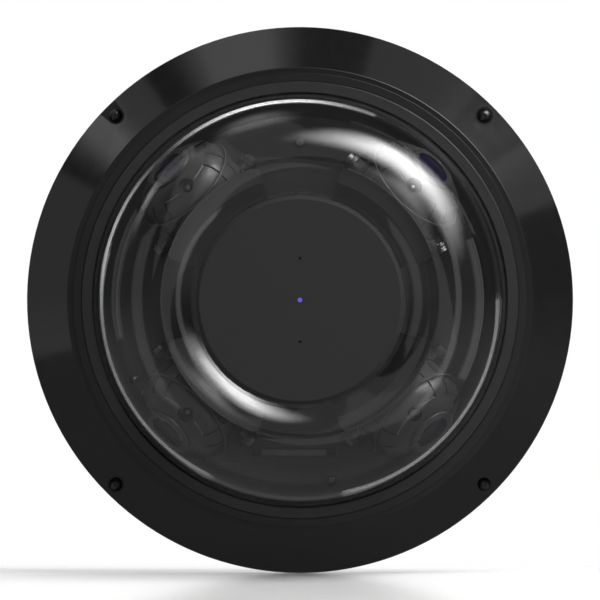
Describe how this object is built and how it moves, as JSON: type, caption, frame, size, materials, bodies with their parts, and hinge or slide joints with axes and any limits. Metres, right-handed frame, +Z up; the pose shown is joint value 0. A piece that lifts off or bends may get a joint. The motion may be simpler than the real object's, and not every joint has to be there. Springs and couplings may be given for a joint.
{
  "type": "multi-sensor dome security camera",
  "caption": "Round surface-mounted dome camera: separately aimed camera modules on a track under a clear ring-shaped dome, with a conical cover ring and a matte centre disc.",
  "frame": {"origin": "centre of the mounting plate's rear face, which lies on the wall", "axes": "+Y goes into the wall and the dome looks along -Y; +X is right and +Z is up as seen from the front"},
  "size_m": [0.24, 0.1039, 0.24],
  "materials": {
    "black_casting": "satin black powder coat on die-cast aluminium",
    "black_trim": "satin black moulded plastic",
    "black_plastic": "black moulded plastic",
    "matte_black": "fine matte black plastic",
    "module_plastic": "satin dark plastic",
    "clear_dome": "polished clear polycarbonate",
    "lens_metal": "black anodised",
    "lens_glass": "coated dark optical glass",
    "zinc_steel": "bright zinc plating",
    "black_steel": "black oxide",
    "black_rubber": "moulded silicone rubber",
    "circuit_board": "green solder mask",
    "connector_plastic": "grey moulded plastic",
    "status_light": "lit violet-blue light pipe"
  },
  "bodies": {
    "base": {"mounting_plate": "zinc_steel", "plate_screws": "zinc_steel", "base_housing": "black_casting", "rear_grommet": "black_rubber", "entry_plug": "black_casting", "cover_gasket": "black_rubber", "cover_ring": "black_casting", "cover_screws": "black_steel", "dome_gasket": "black_rubber", "dome": "clear_dome", "dome_bezel": "black_trim", "centre_cap": "matte_black", "light_pipe": "status_light", "microphones": "black_rubber", "front_board": "circuit_board", "hub_post": "black_plastic", "deck": "black_plastic", "deck_screws": "zinc_steel", "deck_connector": "connector_plastic", "main_board": "circuit_board", "network_jack": "zinc_steel", "card_holder": "zinc_steel", "reset_switch": "black_plastic"},
    "pan_upper_right": {"carriage_upper_right": "black_plastic"},
    "tilt_upper_right": {"cradle_upper_right": "black_trim", "pivot_pins_upper_right": "black_steel"},
    "eye_upper_right": {"rear_shell_upper_right": "module_plastic", "front_shell_upper_right": "module_plastic", "lock_screw_upper_right": "black_steel", "lens_ring_upper_right": "lens_metal", "lens_glass_upper_right": "lens_glass", "sensor_board_upper_right": "circuit_board"},
    "pan_upper_left": {"carriage_upper_left": "black_plastic"},
    "tilt_upper_left": {"cradle_upper_left": "black_trim", "pivot_pins_upper_left": "black_steel"},
    "eye_upper_left": {"rear_shell_upper_left": "module_plastic", "front_shell_upper_left": "module_plastic", "lock_screw_upper_left": "black_steel", "lens_ring_upper_left": "lens_metal", "lens_glass_upper_left": "lens_glass", "sensor_board_upper_left": "circuit_board"},
    "pan_lower_left": {"carriage_lower_left": "black_plastic"},
    "tilt_lower_left": {"cradle_lower_left": "black_trim", "pivot_pins_lower_left": "black_steel"},
    "eye_lower_left": {"rear_shell_lower_left": "module_plastic", "front_shell_lower_left": "module_plastic", "lock_screw_lower_left": "black_steel", "lens_ring_lower_left": "lens_metal", "lens_glass_lower_left": "lens_glass", "sensor_board_lower_left": "circuit_board"},
    "pan_lower_right": {"carriage_lower_right": "black_plastic"},
    "tilt_lower_right": {"cradle_lower_right": "black_trim", "pivot_pins_lower_right": "black_steel"},
    "eye_lower_right": {"rear_shell_lower_right": "module_plastic", "front_shell_lower_right": "module_plastic", "lock_screw_lower_right": "black_steel", "lens_ring_lower_right": "lens_metal", "lens_glass_lower_right": "lens_glass", "sensor_board_lower_right": "circuit_board"},
    "reset_button": {"reset_plunger": "connector_plastic"}
  },
  "joints": [
    {"name": "pan_upper_right", "type": "hinge", "parent": "base", "child": "pan_upper_right", "pos_m": [0, 0, 0], "axis": [0, -1, 0], "range_deg": [-16.5, 16.5]},
    {"name": "tilt_upper_right", "type": "hinge", "parent": "pan_upper_right", "child": "tilt_upper_right", "pos_m": [0.04158, -0.067, 0.04158], "axis": [-0.7071, 0, 0.7071], "range_deg": [-14, 24]},
    {"name": "turn_upper_right", "type": "hinge", "parent": "tilt_upper_right", "child": "eye_upper_right", "pos_m": [0.04158, -0.067, 0.04158], "axis": [0.6355, -0.4384, 0.6355], "range_deg": [-90, 90]},
    {"name": "pan_upper_left", "type": "hinge", "parent": "base", "child": "pan_upper_left", "pos_m": [0, 0, 0], "axis": [0, -1, 0], "range_deg": [-16.5, 16.5]},
    {"name": "tilt_upper_left", "type": "hinge", "parent": "pan_upper_left", "child": "tilt_upper_left", "pos_m": [-0.04158, -0.067, 0.04158], "axis": [-0.7071, 0, -0.7071], "range_deg": [-14, 24]},
    {"name": "turn_upper_left", "type": "hinge", "parent": "tilt_upper_left", "child": "eye_upper_left", "pos_m": [-0.04158, -0.067, 0.04158], "axis": [-0.6355, -0.4384, 0.6355], "range_deg": [-90, 90]},
    {"name": "pan_lower_left", "type": "hinge", "parent": "base", "child": "pan_lower_left", "pos_m": [0, 0, 0], "axis": [0, -1, 0], "range_deg": [-16.5, 16.5]},
    {"name": "tilt_lower_left", "type": "hinge", "parent": "pan_lower_left", "child": "tilt_lower_left", "pos_m": [-0.04158, -0.067, -0.04158], "axis": [0.7071, 0, -0.7071], "range_deg": [-14, 24]},
    {"name": "turn_lower_left", "type": "hinge", "parent": "tilt_lower_left", "child": "eye_lower_left", "pos_m": [-0.04158, -0.067, -0.04158], "axis": [-0.6355, -0.4384, -0.6355], "range_deg": [-90, 90]},
    {"name": "pan_lower_right", "type": "hinge", "parent": "base", "child": "pan_lower_right", "pos_m": [0, 0, 0], "axis": [0, -1, 0], "range_deg": [-16.5, 16.5]},
    {"name": "tilt_lower_right", "type": "hinge", "parent": "pan_lower_right", "child": "tilt_lower_right", "pos_m": [0.04158, -0.067, -0.04158], "axis": [0.7071, 0, 0.7071], "range_deg": [-14, 24]},
    {"name": "turn_lower_right", "type": "hinge", "parent": "tilt_lower_right", "child": "eye_lower_right", "pos_m": [0.04158, -0.067, -0.04158], "axis": [0.6355, -0.4384, -0.6355], "range_deg": [-90, 90]},
    {"name": "reset_press", "type": "slide", "parent": "base", "child": "reset_button", "axis": [0, 1, 0], "range_m": [0, 0.0005], "stiffness_N_per_m": 300}
  ]
}
